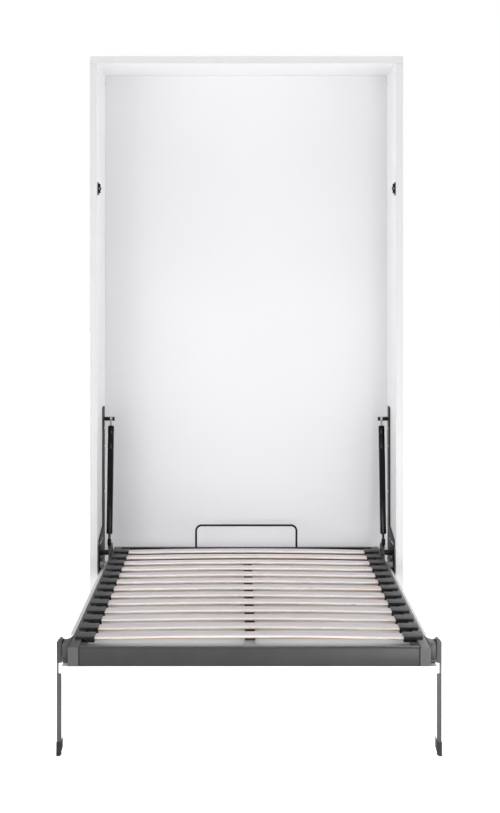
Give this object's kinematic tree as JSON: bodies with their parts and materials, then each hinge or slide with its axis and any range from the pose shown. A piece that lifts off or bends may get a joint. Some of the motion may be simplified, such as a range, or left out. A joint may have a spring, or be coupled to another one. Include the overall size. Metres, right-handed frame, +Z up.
{
  "type": "murphy wall bed",
  "caption": "Vertical murphy wall bed: white open cabinet with a slatted steel frame that folds down on gas struts and stands on folding legs.",
  "frame": {"origin": "on the floor, under the middle of the open bed's outline", "axes": "+Z up; +Y towards the wall behind the cabinet, so the foot of the open bed points to -Y; +X to the right of someone facing the cabinet"},
  "size_m": [1.09, 2.033, 2.055],
  "materials": {
    "cabinet_board": "white melamine-faced particle board, satin",
    "back_board": "white lacquered hardboard, satin",
    "front_board": "white melamine-faced particle board, satin",
    "frame_steel": "anthracite powder coat, fine texture",
    "grey_steel": "grey powder coat",
    "black_steel": "black powder coat",
    "strut_steel": "gloss black paint",
    "plated_steel": "zinc plated",
    "rod_steel": "hard chromed and polished",
    "grey_plastic": "moulded grey plastic",
    "dark_plastic": "moulded dark grey plastic",
    "slat_wood": "layered beech with a pale woven-pattern face"
  },
  "bodies": {
    "cabinet": {"left_side_panel": "cabinet_board", "left_catch": "black_steel", "left_hinge_plate": "black_steel", "left_pivot_bolt": "plated_steel", "left_upper_stud": "black_steel", "right_side_panel": "cabinet_board", "right_catch": "black_steel", "right_hinge_plate": "black_steel", "right_pivot_bolt": "plated_steel", "right_upper_stud": "black_steel", "top_panel": "cabinet_board", "back_panel": "back_board", "plinth_board": "cabinet_board", "wall_fixing_rail": "cabinet_board", "rear_floor_rail": "cabinet_board"},
    "bed": {"left_side_rail": "frame_steel", "left_rail_end_cap": "grey_plastic", "left_slat_holders": "dark_plastic", "left_hinge_arm": "frame_steel", "left_lower_stud": "plated_steel", "left_leg_bracket": "grey_plastic", "left_leg_pin": "plated_steel", "right_side_rail": "frame_steel", "right_rail_end_cap": "grey_plastic", "right_slat_holders": "dark_plastic", "right_hinge_arm": "frame_steel", "right_lower_stud": "plated_steel", "right_leg_bracket": "grey_plastic", "right_leg_pin": "plated_steel", "head_rail": "frame_steel", "foot_rail": "frame_steel", "centre_beam": "grey_steel", "mattress_loop": "black_steel", "front_panel": "front_board", "pull_handle": "plated_steel", "slat_01": "slat_wood", "slat_02": "slat_wood", "slat_03": "slat_wood", "slat_04": "slat_wood", "slat_05": "slat_wood", "slat_06": "slat_wood", "slat_07": "slat_wood", "slat_08": "slat_wood", "slat_09": "slat_wood", "slat_10": "slat_wood", "slat_11": "slat_wood", "slat_12": "slat_wood", "slat_13": "slat_wood"},
    "left_strut": {"left_strut_cylinder": "strut_steel", "left_strut_gland": "strut_steel"},
    "left_rod": {"left_strut_rod": "rod_steel"},
    "left_leg": {"left_leg": "grey_steel", "left_leg_shoe": "dark_plastic"},
    "right_strut": {"right_strut_cylinder": "strut_steel", "right_strut_gland": "strut_steel"},
    "right_rod": {"right_strut_rod": "rod_steel"},
    "right_leg": {"right_leg": "grey_steel", "right_leg_shoe": "dark_plastic"}
  },
  "joints": [
    {"name": "bed_fold", "type": "hinge", "parent": "cabinet", "child": "bed", "pos_m": [0, 0.6805, 0.315], "axis": [-1, 0, 0], "range_deg": [0, 90]},
    {"name": "left_strut_swing", "type": "hinge", "parent": "cabinet", "child": "left_strut", "pos_m": [-0.4905, 0.8765, 0.772], "axis": [-1, 0, 0], "range_deg": [0, 6.53]},
    {"name": "left_rod_slide", "type": "slide", "parent": "left_strut", "child": "left_rod", "axis": [0, -0.2197, -0.9756], "range_m": [0, 0.11925]},
    {"name": "left_leg_fold", "type": "hinge", "parent": "bed", "child": "left_leg", "pos_m": [-0.503, -0.9135, 0.283], "axis": [1, 0, 0], "range_deg": [0, 90]},
    {"name": "right_strut_swing", "type": "hinge", "parent": "cabinet", "child": "right_strut", "pos_m": [0.4905, 0.8765, 0.772], "axis": [-1, 0, 0], "range_deg": [0, 6.53]},
    {"name": "right_rod_slide", "type": "slide", "parent": "right_strut", "child": "right_rod", "axis": [0, -0.2197, -0.9756], "range_m": [0, 0.11925]},
    {"name": "right_leg_fold", "type": "hinge", "parent": "bed", "child": "right_leg", "pos_m": [0.503, -0.9135, 0.283], "axis": [1, 0, 0], "range_deg": [0, 90]}
  ],
  "couplings": [
    {"joint": "left_strut_swing", "follows": "bed_fold", "ratio": 0.072466},
    {"joint": "left_rod_slide", "follows": "bed_fold", "m_per_rad": 0.075853},
    {"joint": "left_leg_fold", "follows": "bed_fold", "ratio": 1},
    {"joint": "right_strut_swing", "follows": "bed_fold", "ratio": 0.072466},
    {"joint": "right_rod_slide", "follows": "bed_fold", "m_per_rad": 0.075853},
    {"joint": "right_leg_fold", "follows": "bed_fold", "ratio": 1}
  ]
}
